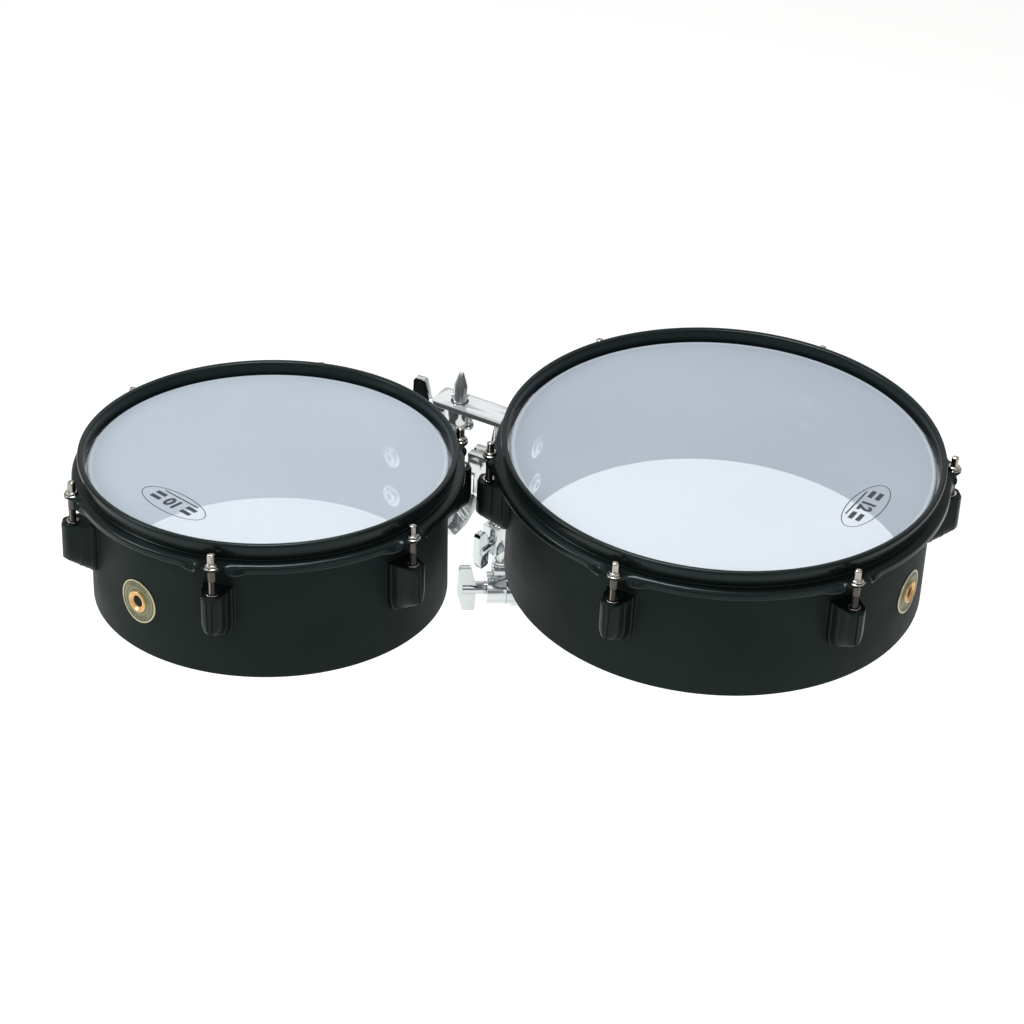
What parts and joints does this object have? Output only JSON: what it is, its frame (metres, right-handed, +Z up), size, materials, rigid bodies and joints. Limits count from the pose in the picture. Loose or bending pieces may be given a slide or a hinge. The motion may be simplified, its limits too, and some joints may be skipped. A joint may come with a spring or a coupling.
{
  "type": "timbales",
  "caption": "Pair of shallow single-headed drums in black shells with tuned hoops, joined by a jointed chrome holder that clamps on a stand tube.",
  "frame": {"origin": "centre of the stand socket's bore, half way along it", "axes": "+Z up along the stand tube and the post, -Y towards the player, +X from the smaller drum to the larger"},
  "size_m": [0.6425, 0.3472, 0.2149],
  "materials": {
    "shell_black": "matte",
    "hoop_black": "satin",
    "lug_black": "satin",
    "cast_black": "satin",
    "head_film": "satin",
    "bare_alloy": "satin",
    "gasket_rubber": "matte",
    "nickel": "polished",
    "chrome": "polished",
    "badge_gold": "satin",
    "brass": "polished",
    "nylon": "matte"
  },
  "bodies": {
    "receiver": {"stand_receiver": "chrome"},
    "stand_wing": {"stand_wing": "chrome"},
    "tilter": {"tilter": "chrome", "outer_tube": "chrome", "post_collar": "chrome"},
    "tilter_wing": {"tilter_wing": "chrome"},
    "collar_wing": {"collar_wing": "chrome"},
    "post_bush": {"post_bush": "nylon"},
    "post": {"inner_post": "chrome", "top_plate": "chrome", "plate_screw": "chrome", "rod_clamp": "chrome"},
    "rod_clamp_wing": {"rod_clamp_wing": "chrome"},
    "rod_bush": {"rod_bush": "nylon"},
    "l_rod": {"l_rod": "chrome", "rod_stop_pin": "chrome"},
    "leg_bush": {"left_leg_bush": "nylon"},
    "left_drum": {"left_shell": "shell_black", "left_head": "head_film", "left_flesh_hoop": "bare_alloy", "left_counter_hoop": "hoop_black", "left_lugs": "lug_black", "left_lug_gaskets": "gasket_rubber", "left_swivel_nuts": "nickel", "left_shell_screws": "chrome", "left_rod_washers": "nickel", "left_badge": "badge_gold", "left_vent_eyelet": "brass", "left_bracket": "cast_black"},
    "left_bracket_wing": {"left_bracket_wing": "chrome"},
    "lock_ring": {"post_lock_ring": "chrome"},
    "swivel_clamp": {"swivel_clamp": "chrome"},
    "clamp_wing": {"swivel_clamp_wing": "chrome"},
    "right_drum": {"right_shell": "shell_black", "right_head": "head_film", "right_flesh_hoop": "bare_alloy", "right_counter_hoop": "hoop_black", "right_lugs": "lug_black", "right_lug_gaskets": "gasket_rubber", "right_swivel_nuts": "nickel", "right_shell_screws": "chrome", "right_rod_washers": "nickel", "right_badge": "badge_gold", "right_vent_eyelet": "brass", "right_bracket": "cast_black"},
    "left_rod_1": {"left_tension_rod_1": "nickel"},
    "left_rod_2": {"left_tension_rod_2": "nickel"},
    "left_rod_3": {"left_tension_rod_3": "nickel"},
    "left_rod_4": {"left_tension_rod_4": "nickel"},
    "left_rod_5": {"left_tension_rod_5": "nickel"},
    "left_rod_6": {"left_tension_rod_6": "nickel"},
    "right_rod_1": {"right_tension_rod_1": "nickel"},
    "right_rod_2": {"right_tension_rod_2": "nickel"},
    "right_rod_3": {"right_tension_rod_3": "nickel"},
    "right_rod_4": {"right_tension_rod_4": "nickel"},
    "right_rod_5": {"right_tension_rod_5": "nickel"},
    "right_rod_6": {"right_tension_rod_6": "nickel"}
  },
  "joints": [
    {"name": "stand_wing_turn", "type": "hinge", "parent": "receiver", "child": "stand_wing", "pos_m": [0, 0, 0], "axis": [-0.0993, 0.9951, 0], "range_deg": [-180, 180]},
    {"name": "tilter_tilt", "type": "hinge", "parent": "receiver", "child": "tilter", "pos_m": [-0.03005, -0.01104, 0.0052], "axis": [0.9951, 0.0993, 0], "range_deg": [-15, 35]},
    {"name": "tilter_wing_turn", "type": "hinge", "parent": "tilter", "child": "tilter_wing", "pos_m": [-0.03005, -0.01104, 0.0052], "axis": [-0.9951, -0.0993, 0], "range_deg": [-180, 180]},
    {"name": "collar_wing_turn", "type": "hinge", "parent": "tilter", "child": "collar_wing", "pos_m": [-0.03085, -0.00308, 0.047], "axis": [-0.6157, -0.788, 0], "range_deg": [-180, 180]},
    {"name": "post_swivel", "type": "hinge", "parent": "tilter", "child": "post_bush", "pos_m": [-0.03085, -0.00308, 0], "axis": [0, 0, 1], "range_deg": [-40, 15]},
    {"name": "post_height", "type": "slide", "parent": "post_bush", "child": "post", "axis": [0, 0, 1], "range_m": [-0.01, 0.01]},
    {"name": "rod_clamp_wing_turn", "type": "hinge", "parent": "post", "child": "rod_clamp_wing", "pos_m": [-0.06924, 0.01809, 0.1408], "axis": [-0.9107, 0.4131, 0], "range_deg": [-180, 180]},
    {"name": "left_swing", "type": "hinge", "parent": "post", "child": "rod_bush", "pos_m": [-0.06924, 0.01809, 0.14], "axis": [0, 0, -1], "range_deg": [0, 32]},
    {"name": "left_rod_height", "type": "slide", "parent": "rod_bush", "child": "l_rod", "axis": [0, 0, 1], "range_m": [-0.0025, 0.004]},
    {"name": "left_reach", "type": "slide", "parent": "l_rod", "child": "leg_bush", "axis": [-0.6794, -0.7337, 0], "range_m": [-0.006, 0.015]},
    {"name": "left_tilt", "type": "hinge", "parent": "leg_bush", "child": "left_drum", "pos_m": [-0.20126, -0.12447, 0.11397], "axis": [-0.6794, -0.7337, 0], "range_deg": [0, 12]},
    {"name": "left_bracket_wing_turn", "type": "hinge", "parent": "left_drum", "child": "left_bracket_wing", "pos_m": [-0.09137, -0.00681, 0.10399], "axis": [0.5669, 0.1045, -0.8171], "range_deg": [-180, 180]},
    {"name": "right_height", "type": "slide", "parent": "post", "child": "lock_ring", "axis": [0, 0, 1], "range_m": [-0.006, 0.005]},
    {"name": "right_swing", "type": "hinge", "parent": "lock_ring", "child": "swivel_clamp", "pos_m": [-0.03085, -0.00308, 0.11793], "axis": [0, 0, 1], "range_deg": [0, 40]},
    {"name": "clamp_wing_turn", "type": "hinge", "parent": "swivel_clamp", "child": "clamp_wing", "pos_m": [-0.05055, 0.0078, 0.10693], "axis": [0.4833, 0.8755, 0], "range_deg": [-180, 180]},
    {"name": "right_tilt", "type": "hinge", "parent": "swivel_clamp", "child": "right_drum", "pos_m": [0.12017, -0.08644, 0.11793], "axis": [-0.8755, 0.4833, 0], "range_deg": [0, 20]},
    {"name": "left_rod_1_turn", "type": "hinge", "parent": "left_drum", "child": "left_rod_1", "pos_m": [-0.17243, 0.01585, 0.16203], "axis": [-0.0499, 0.0462, 0.9977], "range_deg": [-180, 180]},
    {"name": "left_rod_2_turn", "type": "hinge", "parent": "left_drum", "child": "left_rod_2", "pos_m": [-0.30748, -0.02611, 0.15722], "axis": [-0.0499, 0.0462, 0.9977], "range_deg": [-180, 180]},
    {"name": "left_rod_3_turn", "type": "hinge", "parent": "left_drum", "child": "left_rod_3", "pos_m": [-0.33895, -0.16398, 0.16203], "axis": [-0.0499, 0.0462, 0.9977], "range_deg": [-180, 180]},
    {"name": "left_rod_4_turn", "type": "hinge", "parent": "left_drum", "child": "left_rod_4", "pos_m": [-0.23537, -0.2599, 0.17166], "axis": [-0.0499, 0.0462, 0.9977], "range_deg": [-180, 180]},
    {"name": "left_rod_5_turn", "type": "hinge", "parent": "left_drum", "child": "left_rod_5", "pos_m": [-0.10032, -0.21794, 0.17647], "axis": [-0.0499, 0.0462, 0.9977], "range_deg": [-180, 180]},
    {"name": "left_rod_6_turn", "type": "hinge", "parent": "left_drum", "child": "left_rod_6", "pos_m": [-0.06885, -0.08007, 0.17166], "axis": [-0.0499, 0.0462, 0.9977], "range_deg": [-180, 180]},
    {"name": "right_rod_1_turn", "type": "hinge", "parent": "right_drum", "child": "right_rod_1", "pos_m": [-0.04745, -0.09099, 0.16843], "axis": [-0.0143, -0.026, 0.9996], "range_deg": [-180, 180]},
    {"name": "right_rod_2_turn", "type": "hinge", "parent": "right_drum", "child": "right_rod_2", "pos_m": [0.03878, -0.23387, 0.16596], "axis": [-0.0143, -0.026, 0.9996], "range_deg": [-180, 180]},
    {"name": "right_rod_3_turn", "type": "hinge", "parent": "right_drum", "child": "right_rod_3", "pos_m": [0.20563, -0.2307, 0.16843], "axis": [-0.0143, -0.026, 0.9996], "range_deg": [-180, 180]},
    {"name": "right_rod_4_turn", "type": "hinge", "parent": "right_drum", "child": "right_rod_4", "pos_m": [0.28626, -0.08465, 0.17338], "axis": [-0.0143, -0.026, 0.9996], "range_deg": [-180, 180]},
    {"name": "right_rod_5_turn", "type": "hinge", "parent": "right_drum", "child": "right_rod_5", "pos_m": [0.20003, 0.05823, 0.17586], "axis": [-0.0143, -0.026, 0.9996], "range_deg": [-180, 180]},
    {"name": "right_rod_6_turn", "type": "hinge", "parent": "right_drum", "child": "right_rod_6", "pos_m": [0.03318, 0.05506, 0.17338], "axis": [-0.0143, -0.026, 0.9996], "range_deg": [-180, 180]}
  ]
}
